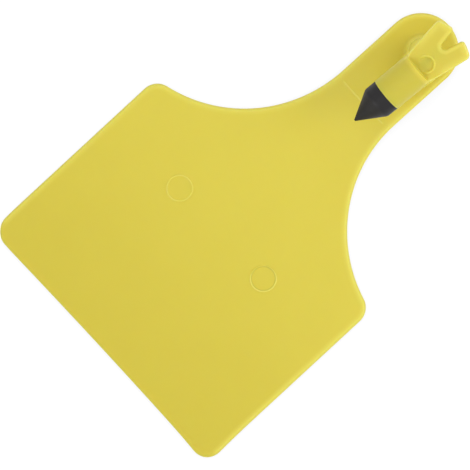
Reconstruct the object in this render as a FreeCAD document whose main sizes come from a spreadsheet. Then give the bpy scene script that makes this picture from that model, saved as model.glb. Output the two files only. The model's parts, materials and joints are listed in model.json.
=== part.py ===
"""One-piece self-piercing livestock ear tag, in millimetres.

A soft flag, neck and round head lie flat. A leaning stem rises from the head and carries a T-shaped
toggle, whose hard tip points back over the flag. The soft moulding is divided only where it bends:
across the neck, and at the stem.

Frame: origin on the back face under the stem's axis, +Y from the flag to the head, +Z up to the toggle.
Toggle frame: origin on the toggle's axis above the stem's crown, +y to the forked tail, +z to its flat.
"""

import FreeCAD, Part
import math
import os
import Sketcher
from FreeCAD import Placement, Rotation, Vector

DRIVING = [
    ("flag_width", 76.2, "flag, side to side: 3 inches"),
    ("stem_to_edge", 105.0, "stem axis to the flag's lower edge"),
    ("flag_thickness", 1.5, "flag below the taper"),
    ("corner_radius", 4.5, "flag corners in plan"),
    ("shoulder_radius", 34.8, "hollow curves from the flag into the neck"),
    ("edge_round", 0.8, "rounding along the front rim"),
    ("neck_width", 18.1, "neck, and the round head's diameter"),
    ("neck_straight", 17.0, "parallel part of the neck, up to the stem axis"),
    ("neck_thickness", 2.3, "neck and head"),
    ("taper_length", 25.0, "ramp from flag thickness to neck thickness"),
    ("witness_to_stem", 19.5, "mould line across the neck to the stem axis"),
    ("witness_step", 0.1, "step at the mould line"),
    ("flexure_length", 8.0, "part of the neck that bends"),
    ("mark_radius", 3.1, "ejector mark, to the outside of its raised line"),
    ("mark_line", 0.3, "width of the raised line"),
    ("mark_height", 0.1, "height of the raised line"),
    ("mark_spacing", 29.6, "between the two ejector marks"),
    ("mark_to_edge", 40.0, "ejector marks to the flag's lower edge"),
    ("stem_root_radius", 4.35, "stem where it leaves the head"),
    ("stem_waist_radius", 3.0, "stem at its thinnest"),
    ("waist_height", 3.8, "thinnest place of the stem, above the head"),
    ("stem_crown_radius", 3.6, "stem under the toggle"),
    ("ear_room", 8.4, "height of the stem, which the ear fills"),
    ("lean_side", 3.0, "how far the relaxed stem leans to +X"),
    ("lean_back", -1.0, "how far the relaxed stem leans along Y"),
    ("toggle_heading", -2.7, "relaxed toggle, turned about Z, degrees"),
    ("toggle_roll", 2.0, "relaxed toggle, rolled about Y, degrees"),
    ("toggle_dip", 10.0, "relaxed toggle, point dipped about X, degrees"),
    ("sleeve_radius", 4.23, "round sleeve behind the tip"),
    ("lip_step", 0.05, "sleeve stands proud of the tip"),
    ("point_length", 22.0, "stem axis to the point"),
    ("cone_length", 6.8, "conical part of the tip"),
    ("tip_length", 9.75, "point to the sleeve's mouth"),
    ("flat_front", 2.45, "flat starts this far ahead of the stem axis"),
    ("flat_height", 1.75, "flat above the toggle's axis"),
    ("root_margin", 0.2, "block stands proud of the sleeve's sides"),
    ("root_length", 1.4, "from the flat's front to that width"),
    ("fork_corner_round", 0.6, "rounding of the fork's four corners in plan"),
    ("block_round", 0.45, "rounding along the block's upper edges"),
    ("tail_length", 9.9, "stem axis to the ends of the fork"),
    ("tail_width", 11.7, "across the fork's outer corners"),
    ("tail_end_radius", 12.2, "curve of the fork's ends in plan"),
    ("tail_thickness", 4.1, "fork at its ends"),
    ("relief_margin", 0.8, "from the stem's crown to where the tail's underside slopes up"),
    ("fork_depth", 4.5, "slot, from the ends inwards"),
    ("fork_mouth", 3.4, "slot width at the ends"),
    ("fork_root", 1.6, "slot width at its closed end"),
    ("dimple_side", 0.4, "round recess above the stem, offset across the toggle"),
    ("dimple_back", -0.25, "its offset along the toggle"),
    ("dimple_radius", 2.05, "its radius"),
    ("dimple_depth", 0.3, "its depth"),
    ("shank_radius", 2.5, "tip's shank inside the sleeve"),
    ("shank_length", 8.5, "shank behind the sleeve's mouth"),
    ("barb_height", 0.6, "barbs above the shank"),
    ("barb_length", 1.8, "each barb, along the shank"),
    ("barb_pitch", 3.2, "from one barb to the next"),
    ("pin_radius", 1.2, "socket for the applicator's pin, and its guide through the moulding"),
    ("pin_depth", 9.5, "socket, from the shank's back end"),
]
BARBS = 2


class Size:
    """A number together with the sheet expression that gives it, so sums of sizes stay bound."""

    def __init__(self, number, text):
        self.number = number
        self.text = text

    def __add__(self, other):
        other = sized(other)
        return Size(self.number + other.number, f"({self.text} + {other.text})")

    def __sub__(self, other):
        other = sized(other)
        return Size(self.number - other.number, f"({self.text} - {other.text})")

    def __mul__(self, other):
        other = sized(other)
        return Size(self.number * other.number, f"({self.text} * {other.text})")

    def __truediv__(self, other):
        other = sized(other)
        return Size(self.number / other.number, f"({self.text} / {other.text})")

    def __neg__(self):
        return Size(-self.number, f"(0 - {self.text})")


def sized(value):
    """A Size as it is, or a plain number as a Size."""
    return value if isinstance(value, Size) else Size(float(value), repr(float(value)))


def root(value):
    """Square root of a Size."""
    return Size(math.sqrt(value.number), f"sqrt({value.text})")


def make_sheet(doc):
    """The spreadsheet of driving dimensions, and each alias as a Size."""
    sheet = doc.addObject("Spreadsheet::Sheet", "Sizes")
    sizes = {}
    for row, (alias, number, note) in enumerate(DRIVING, start=1):
        sheet.set(f"A{row}", str(number))
        sheet.setAlias(f"A{row}", alias)
        sheet.set(f"B{row}", note)
        sizes[alias] = Size(number, f"Sizes.{alias}")
    doc.recompute()
    return sizes


def origin_feature(body, role):
    """One of the body's own origin planes or axes, by its role."""
    return next(o for o in body.Origin.OriginFeatures if o.Role == role)


def make_body(doc, name):
    """An empty PartDesign body whose label names the piece."""
    body = doc.addObject("PartDesign::Body", name)
    body.Label = name
    return body


def pin_corner(sketch, edge, corner):
    """Bind a sketch edge's first corner to its two Sizes."""
    ways = (("DistanceX", -2, corner[0]), ("DistanceY", -1, corner[1]))
    for way, axis, value in ways:
        if value.number == 0:
            sketch.addConstraint(Sketcher.Constraint("PointOnObject", edge[0], edge[1], axis))
            continue
        number = sketch.addConstraint(
            Sketcher.Constraint(way, -1, 1, edge[0], edge[1], value.number)
        )
        sketch.setExpression(f"Constraints[{number}]", value.text)


def arc_between(start, end, radius, hollow):
    """Circle arc from start to end, anticlockwise, or clockwise where the outline is hollow."""
    middle = (start + end) / 2
    half = (end - start) / 2
    rise = math.sqrt(max(radius**2 - half.Length**2, 0))
    left = Vector(-half.y, half.x, 0).normalize()
    centre = middle - left * rise if hollow else middle + left * rise
    first, last = (end, start) if hollow else (start, end)
    angles = [math.atan2(p.y - centre.y, p.x - centre.x) for p in (first, last)]
    if angles[1] < angles[0]:
        angles[1] += 2 * math.pi
    return Part.ArcOfCircle(Part.Circle(centre, Vector(0, 0, 1), radius), *angles)


def make_profile(body, name, role, corners, arcs=None, lift=None):
    """Closed sketch on an origin plane, anticlockwise, with every corner and radius bound.

    arcs maps a corner's number to (radius, hollow) for the edge that starts there.
    """
    arcs = arcs or {}
    corners = [(sized(x), sized(y)) for x, y in corners]
    sketch = body.newObject("Sketcher::SketchObject", name)
    sketch.AttachmentSupport = (origin_feature(body, role), [""])
    sketch.MapMode = "FlatFace"
    if lift is not None:
        sketch.setExpression("AttachmentOffset.Base.z", lift.text)
    points = [Vector(x.number, y.number, 0) for x, y in corners]
    edges = []
    for n, start in enumerate(points):
        end = points[(n + 1) % len(points)]
        if n in arcs:
            radius, hollow = sized(arcs[n][0]), arcs[n][1]
            edge = sketch.addGeometry(arc_between(start, end, radius.number, hollow))
            edges.append((edge, 2, 1) if hollow else (edge, 1, 2))
            number = sketch.addConstraint(Sketcher.Constraint("Radius", edge, radius.number))
            sketch.setExpression(f"Constraints[{number}]", radius.text)
        else:
            edges.append((sketch.addGeometry(Part.LineSegment(start, end)), 1, 2))
    for n, edge in enumerate(edges):
        before = edges[n - 1]
        sketch.addConstraint(
            Sketcher.Constraint("Coincident", before[0], before[2], edge[0], edge[1])
        )
        pin_corner(sketch, edge, corners[n])
    return sketch


def add_circle(sketch, x, y, radius):
    """Circle in a sketch, with its centre and radius bound."""
    centre = Vector(x.number, y.number, 0)
    circle = sketch.addGeometry(Part.Circle(centre, Vector(0, 0, 1), radius.number))
    number = sketch.addConstraint(Sketcher.Constraint("Radius", circle, radius.number))
    sketch.setExpression(f"Constraints[{number}]", radius.text)
    pin_corner(sketch, (circle, 3), (x, y))


def circle_sketch(body, name, lift):
    """Empty sketch parallel to the XY plane, at a bound height."""
    sketch = body.newObject("Sketcher::SketchObject", name)
    sketch.AttachmentSupport = (origin_feature(body, "XY_Plane"), [""])
    sketch.MapMode = "FlatFace"
    sketch.setExpression("AttachmentOffset.Base.z", lift.text)
    return sketch


def add_pad(body, name, sketch, length):
    pad = body.newObject("PartDesign::Pad", name)
    pad.Profile = sketch
    pad.setExpression("Length", length.text)
    return pad


def add_side_cut(body, name, sketch):
    """Cut right through to both sides, for a profile drawn on the middle plane."""
    cut = body.newObject("PartDesign::Pocket", name)
    cut.Profile = sketch
    cut.Type = "ThroughAll"
    cut.SideType = "Symmetric"
    return cut


def add_turned(body, kind, name, sketch):
    """Revolution or Groove once round the body's own Y axis."""
    turned = body.newObject(f"PartDesign::{kind}", name)
    turned.Profile = sketch
    turned.ReferenceAxis = (origin_feature(body, "Y_Axis"), [""])
    turned.Angle = 360
    return turned


def add_fillet(doc, body, name, base, choose, radius):
    """Fillet on the edges of base that choose picks."""
    doc.recompute()
    shape = base.Shape
    picked = [f"Edge{n}" for n, edge in enumerate(shape.Edges, start=1) if choose(shape, edge)]
    fillet = body.newObject("PartDesign::Fillet", name)
    fillet.Base = (base, picked)
    fillet.setExpression("Radius", radius.text)
    return fillet


def face_normals(shape, edge):
    """Outward normals of the faces that meet at the middle of an edge."""
    middle = edge.valueAt((edge.FirstParameter + edge.LastParameter) / 2)
    found = []
    for face in shape.ancestorsOfType(edge, Part.Face):
        found.append(face.normalAt(*face.Surface.parameter(middle)))
    return found


def is_front_rim(shape, edge):
    """True where the front surface meets the outline's wall, except the flat ends of a slice."""
    normals = face_normals(shape, edge)
    fronts = [n for n in normals if n.z > 0.9]
    walls = [n for n in normals if abs(n.z) < 0.1]
    box = edge.BoundBox
    across = box.YLength < 1e-6
    return len(fronts) == 1 and len(walls) == 1 and not across


def is_upright(edge):
    box = edge.BoundBox
    return box.XLength < 1e-6 and box.YLength < 1e-6


# ---- the flat part: flag, bending part of the neck, and head ----


def hollow_centre(s):
    """Centre of the right-hand shoulder curve."""
    return s["neck_width"] / 2 + s["shoulder_radius"], -s["neck_straight"]


def half_width(s, along):
    """Half the tag's width at a place on the shoulder curve."""
    centre_x, centre_y = hollow_centre(s)
    reach = s["shoulder_radius"] * s["shoulder_radius"] - (along - centre_y) * (along - centre_y)
    return centre_x - root(reach)


def shoulder_corner(s):
    """Where the flag's side meets the shoulder curve."""
    centre_x, centre_y = hollow_centre(s)
    side = s["flag_width"] / 2
    reach = s["shoulder_radius"] * s["shoulder_radius"] - (centre_x - side) * (centre_x - side)
    return side, centre_y - root(reach)


def add_taper(body, s):
    """Cut the slab down to the flag's thickness, with a long ramp up to the mould line."""
    below = -s["stem_to_edge"] - s["neck_width"]
    above = s["neck_thickness"] * 2
    line = -s["witness_to_stem"]
    sketch = make_profile(
        body,
        body.Name + "_taper_profile",
        "YZ_Plane",
        [
            (below, s["flag_thickness"]),
            (line - s["taper_length"], s["flag_thickness"]),
            (line, s["neck_thickness"] - s["witness_step"]),
            (line, above),
            (below, above),
        ],
    )
    return add_side_cut(body, body.Name + "_taper", sketch)


def make_flag(doc, s):
    body = make_body(doc, "flag_panel")
    side, shoulder = shoulder_corner(s)
    edge = -s["stem_to_edge"]
    end = -s["witness_to_stem"] - s["flexure_length"]
    throat = half_width(s, end)
    corners = [(-side, edge), (side, edge), (side, shoulder)]
    corners += [(throat, end), (-throat, end), (-side, shoulder)]
    hollows = {2: (s["shoulder_radius"], True), 4: (s["shoulder_radius"], True)}
    sketch = make_profile(body, "flag_outline", "XY_Plane", corners, hollows)
    add_pad(body, "flag_slab", sketch, s["neck_thickness"])
    base = add_taper(body, s)

    def is_corner(shape, edge):
        return is_upright(edge) and abs(abs(edge.CenterOfMass.x) - side.number) < 1e-6

    base = add_fillet(doc, body, "flag_corners", base, is_corner, s["corner_radius"])
    add_fillet(doc, body, "flag_rim", base, is_front_rim, s["edge_round"])
    add_ejector_marks(body, s)
    return body


def add_ejector_marks(body, s):
    """Thin raised circles that the mould's ejector pins leave on the flag."""
    sketch = circle_sketch(body, "ejector_mark_circles", s["flag_thickness"])
    along = s["mark_to_edge"] - s["stem_to_edge"]
    for side in (-1, 1):
        across = s["mark_spacing"] * side / 2
        add_circle(sketch, across, along, s["mark_radius"])
        add_circle(sketch, across, along, s["mark_radius"] - s["mark_line"])
    add_pad(body, "ejector_marks", sketch, s["mark_height"])


def make_flexure(doc, s):
    body = make_body(doc, "neck_flexure")
    top = -s["witness_to_stem"]
    bottom = top - s["flexure_length"]
    wide, narrow = half_width(s, bottom), half_width(s, top)
    corners = [(-wide, bottom), (wide, bottom), (narrow, top), (-narrow, top)]
    hollows = {1: (s["shoulder_radius"], True), 3: (s["shoulder_radius"], True)}
    sketch = make_profile(body, "flexure_outline", "XY_Plane", corners, hollows)
    add_pad(body, "flexure_slab", sketch, s["neck_thickness"])
    base = add_taper(body, s)
    add_fillet(doc, body, "flexure_rim", base, is_front_rim, s["edge_round"])
    return body


def make_head(doc, s):
    body = make_body(doc, "neck_head")
    line = -s["witness_to_stem"]
    start = half_width(s, line)
    half = s["neck_width"] / 2
    straight = -s["neck_straight"]
    corners = [
        (start, line),
        (half, straight),
        (half, 0),
        (0, half),
        (-half, 0),
        (-half, straight),
        (-start, line),
    ]
    arcs = {
        0: (s["shoulder_radius"], True),
        2: (half, False),
        3: (half, False),
        5: (s["shoulder_radius"], True),
    }
    sketch = make_profile(body, "head_outline", "XY_Plane", corners, arcs)
    base = add_pad(body, "head_slab", sketch, s["neck_thickness"])
    add_fillet(doc, body, "head_rim", base, is_front_rim, s["edge_round"])
    return body


# ---- the stem ----


def crown_placement(s):
    """Expression for the plane on top of the stem, which the toggle stands on."""
    height = s["neck_thickness"] + s["ear_room"]
    place = f"vector({s['lean_side'].text}; {s['lean_back'].text}; {height.text})"
    turn = f"rotation({s['toggle_heading'].text}; {s['toggle_roll'].text}; {s['toggle_dip'].text})"
    return f"placement({place}; {turn})"


def make_stem(doc, s):
    """Loft from the root on the head, through the waist, to the crown under the toggle."""
    sections = []
    for name in ("root", "waist", "crown"):
        circle = doc.addObject("Part::Circle", f"stem_{name}_circle")
        circle.setExpression("Radius", s[f"stem_{name}_radius"].text)
        sections.append(circle)
    sections[0].setExpression("Placement.Base.z", s["neck_thickness"].text)
    share = s["waist_height"] / s["ear_room"]
    waist = [s["lean_side"] * share, s["lean_back"] * share, s["neck_thickness"] + s["waist_height"]]
    for letter, value in zip("xyz", waist):
        sections[1].setExpression(f"Placement.Base.{letter}", value.text)
    sections[2].setExpression("Placement", crown_placement(s))
    loft = doc.addObject("Part::Loft", "stem")
    loft.Label = "stem"
    loft.Sections = sections
    loft.Solid = True
    return loft


# ---- the toggle ----


def place_toggle(body, s):
    """Stand a piece drawn in the toggle's frame on the stem's crown."""
    rise = f"placement(vector(0; 0; {s['sleeve_radius'].text}); rotation(0; 0; 0))"
    body.setExpression("Placement", f"{crown_placement(s)} * {rise}")


def mouth(s):
    """Where the sleeve starts, along the toggle."""
    return s["tip_length"] - s["point_length"]


def shank_steps(s):
    """Corners (along, radius) of the barbed shank, from the sleeve's mouth to its back end."""
    radius = s["shank_radius"]
    back = mouth(s) + s["shank_length"]
    first = back - s["barb_pitch"] * BARBS
    steps = [(mouth(s), radius)]
    for n in range(BARBS):
        start = first + s["barb_pitch"] * n
        steps += [(start, radius), (start, radius + s["barb_height"])]
        steps += [(start + s["barb_length"], radius)]
    return steps + [(back, radius)]


def root_station(s):
    """Where the block reaches its full root width, along the toggle."""
    return s["root_length"] - s["flat_front"]


def add_block(doc, body, s):
    """Flat-topped block that widens into the forked tail."""
    radius = s["tail_end_radius"]
    chord = root(s["sleeve_radius"] * s["sleeve_radius"] - s["flat_height"] * s["flat_height"])
    half = s["sleeve_radius"] + s["root_margin"]
    ends = s["tail_length"]
    mouth_half, tail_half, slot_half = s["fork_mouth"] / 2, s["tail_width"] / 2, s["fork_root"] / 2
    centre = ends - root(radius * radius - mouth_half * mouth_half)
    outer = centre + root(radius * radius - tail_half * tail_half)
    closed = ends - s["fork_depth"]
    corners = [
        (-chord, -s["flat_front"]),
        (chord, -s["flat_front"]),
        (half, root_station(s)),
        (tail_half, outer),
        (mouth_half, ends),
        (slot_half, closed + slot_half),
        (0, closed),
        (-slot_half, closed + slot_half),
        (-mouth_half, ends),
        (-tail_half, outer),
        (-half, root_station(s)),
    ]
    arcs = {3: (radius, False), 5: (slot_half, True), 6: (slot_half, True), 8: (radius, False)}
    sketch = make_profile(body, "tail_outline", "XY_Plane", corners, arcs, -s["sleeve_radius"])
    base = add_pad(body, "block", sketch, s["sleeve_radius"] + s["flat_height"])

    def is_fork_corner(shape, edge):
        return is_upright(edge) and edge.CenterOfMass.y > outer.number - 1e-6

    base = add_fillet(doc, body, "fork_corners", base, is_fork_corner, s["fork_corner_round"])

    def is_upper_edge(shape, edge):
        behind = edge.BoundBox.YMin > root_station(s).number - 1e-6
        return behind and is_front_rim(shape, edge)

    add_fillet(doc, body, "block_upper_edges", base, is_upper_edge, s["block_round"])


def add_sleeve(body, s):
    """Round sleeve that runs back into the block, and is cut down to the block's flat there."""
    back = root_station(s)
    corners = [(mouth(s), 0), (back, 0), (back, s["sleeve_radius"]), (mouth(s), s["sleeve_radius"])]
    sketch = make_profile(body, "sleeve_profile", "YZ_Plane", corners)
    add_turned(body, "Revolution", "sleeve", sketch)
    front, beyond = -s["flat_front"], s["tail_length"]
    low, high = s["flat_height"], s["sleeve_radius"] * 2
    corners = [(front, low), (beyond, low), (beyond, high), (front, high)]
    flat = make_profile(body, "flat_profile", "YZ_Plane", corners)
    add_side_cut(body, "flat", flat)


def add_tail_relief(body, s):
    """Slope the tail's underside up towards the ends of the fork."""
    low = -s["sleeve_radius"]
    start = s["stem_crown_radius"] + s["relief_margin"]
    end_height = s["flat_height"] - s["tail_thickness"]
    beyond = s["tail_length"] * 2 - start
    beyond_height = end_height + (end_height - low)
    sketch = make_profile(
        body,
        "tail_relief_profile",
        "YZ_Plane",
        [(start, low), (start, low * 2), (beyond, low * 2), (beyond, beyond_height)],
    )
    add_side_cut(body, "tail_relief", sketch)


def add_dimple(body, s):
    sketch = circle_sketch(body, "dimple_circle", s["flat_height"])
    add_circle(sketch, s["dimple_side"], s["dimple_back"], s["dimple_radius"])
    dimple = body.newObject("PartDesign::Pocket", "dimple")
    dimple.Profile = sketch
    dimple.setExpression("Length", s["dimple_depth"].text)


def add_tip_cavity(body, s):
    """Space for the tip's shank, and the pin guide from there out through the fork."""
    guide = s["pin_radius"]
    back = mouth(s) + s["shank_length"]
    beyond = s["tail_length"] * 2
    steps = shank_steps(s)
    corners = [(mouth(s), 0), (beyond, 0), (beyond, guide), (back, guide)] + steps[::-1]
    sketch = make_profile(body, "tip_cavity_profile", "YZ_Plane", corners)
    add_turned(body, "Groove", "tip_cavity", sketch)


def make_toggle(doc, s):
    body = make_body(doc, "toggle_body")
    add_block(doc, body, s)
    add_sleeve(body, s)
    add_tail_relief(body, s)
    add_dimple(body, s)
    add_tip_cavity(body, s)
    place_toggle(body, s)
    return body


def make_tip(doc, s):
    """Hard tip: cone, collar, and the barbed shank with the pin's socket in its back end."""
    body = make_body(doc, "piercing_tip")
    point = -s["point_length"]
    collar = s["sleeve_radius"] - s["lip_step"]
    back = mouth(s) + s["shank_length"]
    bottom = back - s["pin_depth"]
    corners = [(point, 0), (bottom - s["pin_radius"] / 2, 0)]
    corners += [(bottom, s["pin_radius"]), (back, s["pin_radius"])]
    corners += shank_steps(s)[::-1]
    corners += [(mouth(s), collar), (point + s["cone_length"], collar)]
    sketch = make_profile(body, "tip_profile", "YZ_Plane", corners)
    add_turned(body, "Revolution", "tip", sketch)
    place_toggle(body, s)
    return body


def check(doc, pieces):
    """Stop if any object failed, or a piece has no valid single solid."""
    for thing in doc.Objects:
        if "Invalid" in thing.State or "Error" in thing.State:
            raise RuntimeError(f"{thing.Name} failed: {thing.State}")
    for piece in pieces:
        shape = piece.Shape
        if shape.isNull() or not shape.isValid() or len(shape.Solids) != 1:
            raise RuntimeError(f"{piece.Label} has no valid single solid")


def main():
    doc = FreeCAD.newDocument("ear_tag")
    sizes = make_sheet(doc)
    makers = (make_flag, make_flexure, make_head, make_stem, make_toggle, make_tip)
    pieces = [make(doc, sizes) for make in makers]
    doc.recompute()
    check(doc, pieces)
    os.makedirs("parts", exist_ok=True)
    for piece in pieces:
        piece.Shape.exportStep(os.path.join("parts", piece.Label + ".step"))
        box = piece.Shape.optimalBoundingBox()
        print(f"{piece.Label}: {piece.Shape.Volume:.1f} mm3, {box}")


main()
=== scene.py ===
"""Looks of a one-piece livestock ear tag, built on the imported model.

The soft yellow moulding is three pieces, each continuous over the bends: the sheet (flag, neck and head),
the stem, and the toggle. The hard tip is the fourth. Builders work in millimetres; add_mesh makes metres.
"""

import json
import math

import bpy
import numpy as np
from mathutils import Matrix, Vector
from mathutils.geometry import delaunay_2d_cdt


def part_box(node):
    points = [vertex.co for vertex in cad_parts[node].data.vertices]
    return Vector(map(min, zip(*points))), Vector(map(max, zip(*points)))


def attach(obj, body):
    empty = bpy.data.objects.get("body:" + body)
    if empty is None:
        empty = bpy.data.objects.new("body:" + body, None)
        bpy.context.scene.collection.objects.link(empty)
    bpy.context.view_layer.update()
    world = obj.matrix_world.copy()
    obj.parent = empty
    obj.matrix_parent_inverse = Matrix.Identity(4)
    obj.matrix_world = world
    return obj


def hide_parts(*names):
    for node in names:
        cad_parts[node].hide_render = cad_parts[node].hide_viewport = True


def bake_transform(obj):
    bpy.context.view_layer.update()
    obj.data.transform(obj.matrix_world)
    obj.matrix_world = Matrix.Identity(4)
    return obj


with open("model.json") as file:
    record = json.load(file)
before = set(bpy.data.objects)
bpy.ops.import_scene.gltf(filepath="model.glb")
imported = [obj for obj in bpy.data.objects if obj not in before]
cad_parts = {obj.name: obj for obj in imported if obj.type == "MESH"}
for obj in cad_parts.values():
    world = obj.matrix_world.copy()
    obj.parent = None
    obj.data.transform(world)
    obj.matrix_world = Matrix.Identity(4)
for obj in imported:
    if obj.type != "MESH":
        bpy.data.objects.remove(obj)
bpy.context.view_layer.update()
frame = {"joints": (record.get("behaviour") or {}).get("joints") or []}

MM = 0.001

# ---- places that come from the frame, in millimetres ----


def box_mm(node):
    """Lowest and highest corner of a CAD node."""
    return [np.array(corner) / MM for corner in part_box(node)]


def joint(name):
    """Position in millimetres and unit axis of a joint."""
    found = next(j for j in frame["joints"] if j["name"] == name)
    return np.array(found["pos_m"]) / MM, np.array(found["axis"])


FLAG_LOW, FLAG_HIGH = box_mm("flag_panel")
NECK_LOW, NECK_HIGH = box_mm("neck_flexure")
HEAD_LOW, HEAD_HIGH = box_mm("neck_head")
FLAG_HALF = FLAG_HIGH[0]
FLAG_EDGE = FLAG_LOW[1]
HEAD_RADIUS = HEAD_HIGH[1]
NECK_THICKNESS = HEAD_HIGH[2]
FLEX_START, FLEX_END = NECK_LOW[1], NECK_HIGH[1]

CROWN, TOGGLE_Z = joint("toggle_swivel")
TOGGLE_X = joint("stem_tilt")[1]
TOGGLE_Y = np.cross(TOGGLE_Z, TOGGLE_X)

# ---- sheet: sizes ----

FLAG_THICKNESS = 1.5
RAMP_LENGTH = 25.0
RAMP_SOFTNESS = 2.0
MOULD_LINE = HEAD_LOW[1] + 0.75
MOULD_STEP = 0.1
MOULD_RIDGE = 0.06
MOULD_ROWS = (-0.3, -0.18, -0.06, 0.06, 0.18, 0.3)
CORNER_RADIUS = 4.5
SHOULDER_RADIUS = 34.8
NECK_STRAIGHT = 17.0
RIM_ROUND = 0.9
LOWER_EDGE_ROUND = 0.35
BACK_ROUND = 0.25
MARK_RADIUS = 3.3
MARK_LINE = 0.45
MARK_HEIGHT = 0.2
MARK_SPACING = 29.6
MARK_TO_EDGE = 40.0

# ---- sheet: set of the soft moulding ----

NECK_SWAY = 0.35
SWAY_START = -32.0
LOWER_EDGE_BOW = 0.35
BOW_REACH = 25.0
CORNER_PULL = 0.45
CORNER_SPREAD = 5.0
CORNER_TUCK = 0.4
TUCK_SPREAD = 3.0

# ---- sheet: spacing of its points ----

EDGE_SPACING = 0.8
CORNER_SPACING = 0.4
HEAD_SPACING = 0.5
LATTICE_SPACING = 2.2
LATTICE_ROW = 0.866
BEND_SPACING = 0.9
BEND_MARGIN = 3.0
BEND_HALF = 12.0
MOULD_SPACING = 0.45
RIM_STEPS = 8
RINGS_INSIDE = (0.35, 0.8)
MARK_ROWS = (-0.9, -0.5, -0.15, 0.15, 0.5, 0.9)
RING_SPACING = 0.25
FLARE_RINGS = 12
FLARE_SPACING = 0.3
INNER_SPACING = 0.8
CLEARANCE = 0.5
LINE_CLEARANCE = 0.4
FRONT_MARGIN = RIM_ROUND + 1.1
BACK_MARGIN = 1.0
FILL_TOLERANCE = 1e-6

# ---- sheet: colour, painted light and painted shade ----

# painted light gradient: the sheet runs from deep to pale over this span, towards the head
LIGHT_GRADIENT_RUN = (-115.0, -40.0)
# painted shade on the head beside the toggle
HEAD_SHADE = 0.7
# painted light on the neck beside the tip
NECK_PAINTED_LIGHT = 0.15
NECK_PAINTED_LIGHT_RUN = (-34, -24, -16, -8)
# painted highlights on the rings of the front edge, outermost first
RIM_HIGHLIGHTS = (0.1, 0.1, 0.2, 0.35, 0.6, 0.7, 0.6, 0.4, 0.2, 0)
# rings with more painted highlight than this get painted shade on the lower edge
LOWER_EDGE_SHADE_FROM = 0.2
# painted highlight along the mould line
MOULD_LINE_HIGHLIGHT = 0.45
# painted highlight on the stem's foot and the flare around it
FLARE_HIGHLIGHT = 0.8
# painted highlights on the ejector rings' crests
LEFT_MARK_HIGHLIGHT = 0.5
RIGHT_MARK_HIGHLIGHTS = (0.1, 1.5)
UNDER_FORK_X = (-1, 2)
UNDER_FORK_Y = (2, 5)

# ---- stem ----

STEM_WAIST = 3.0
STEM_CROWN = 3.6
FLARE_REACH = 1.4
FLARE_HEIGHT = 3.0
FLARE_JOIN = 3.15
STEM_SET = 0.4
STEM_SIDES = 64

# ---- toggle, in its own frame: +y to the tail, +z to the flat ----

SLEEVE_RADIUS = 4.23
SLEEVE_MOUTH = -12.4
SLEEVE_END = 1.5
FLAT_FRONT = -2.45
FLAT_HEIGHT = 1.75
FLAT_CUT = 0.5
ROOT_STATION = -1.05
ROOT_MARGIN = 0.2
TAIL_END = 9.9
TAIL_HALF = 5.85
TAIL_ARC = 12.2
TAIL_THICKNESS = 4.1
SIDE_DRAFT = 0.05
RELIEF_START = 4.4
RELIEF_SOFTNESS = 0.6
SLOT_CLOSED = 5.2
SLOT_ROOT_HALF = 0.8
SLOT_MOUTH_HALF = 1.7
SLOT_LEAN = 0.18
SLOT_DRAFT = 0.03
DIMPLE = (0.4, -0.25)
DIMPLE_RADIUS = 2.05
DIMPLE_HEADING = (0.5, 0.87)
DIMPLE_CREST = 0.18
DIMPLE_DEPTH = 0.25
PIN_RADIUS = 1.2
SHANK_END = -3.75
PARTING_LINE = 0.1
PARTING_HALF = 0.16
PARTING_RUN = (-7, -5)
SHOULDER_PROUD = 0.24
SHOULDER_START = -5.6
SIDE_LINE = 3.85
STUB_TOP = -3.0
STUB_DROP = 0.45
SEAT_STEP = 0.5
SEAT_DEPTH = 0.8

# ---- toggle: roundings and fillets ----

MOUTH_ROUND = 0.22
SLEEVE_END_ROUND = 0.3
CUT_ROUND = 0.18
TAIL_CORNER_ROUND = 0.7
FRONT_CORNER_ROUND = 0.3
TOP_ROUND = 0.3
UNDER_ROUND = 0.5
SLOT_ROUND = 0.6
BORE_ROUND = 0.15
SLEEVE_FILLET = 0.25
PARTING_FILLET = 0.12
STUB_FILLET = 0.5

# ---- toggle: net, colour and painted highlights ----

NET_STEP = 0.13
NET_ROUNDS = 4
SLEEVE_SHADE = 0.65
BLOCK_PALE = 0.2
BLOCK_TONE = 0.25
# painted highlights on the toggle, by place
SHOULDER_HIGHLIGHT = 0.8
DIMPLE_HIGHLIGHT = 0.6
MOUTH_HIGHLIGHT = 0.1
LIP_HIGHLIGHT = 0.7
STEP_HIGHLIGHT = 0.15
BROAD_HIGHLIGHT = 0.45

# ---- tip, in the toggle's frame ----

POINT = -22.15
POINT_FLAT = 0.02
POINT_BLUNT = 0.2
CONE_LENGTH = 6.8
TIP_RADIUS = 4.18
TIP_LEAN = 0.015
TIP_SIDES = 96
COLLAR_END = SLEEVE_MOUTH + 0.1
SHANK_RADIUS = 2.5
SHANK_SHOWN = 2.0

# ---- colours, linear ----

DEEP_YELLOW = (0.698, 0.583, 0.055, 1), (0.706, 0.591, 0.057, 1)
PALE_YELLOW = (0.789, 0.667, 0.078, 1), (0.797, 0.675, 0.081, 1)
# yellow of painted highlights, and of the toggle's pale tint
PALE_AND_HIGHLIGHT_YELLOW = (0.88, 0.785, 0.14, 1)
# yellow of painted shade, and of the shank seen through the sleeve
SHANK_AND_SHADE_YELLOW = (0.62, 0.545, 0.058, 1)
CHARCOAL = (0.010, 0.009, 0.0095, 1), (0.015, 0.0135, 0.014, 1)
WHITE = (1, 1, 1, 1)

# ---- floor, surroundings, lamps and camera: metres, but VIEW_CENTRE in millimetres ----

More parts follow.
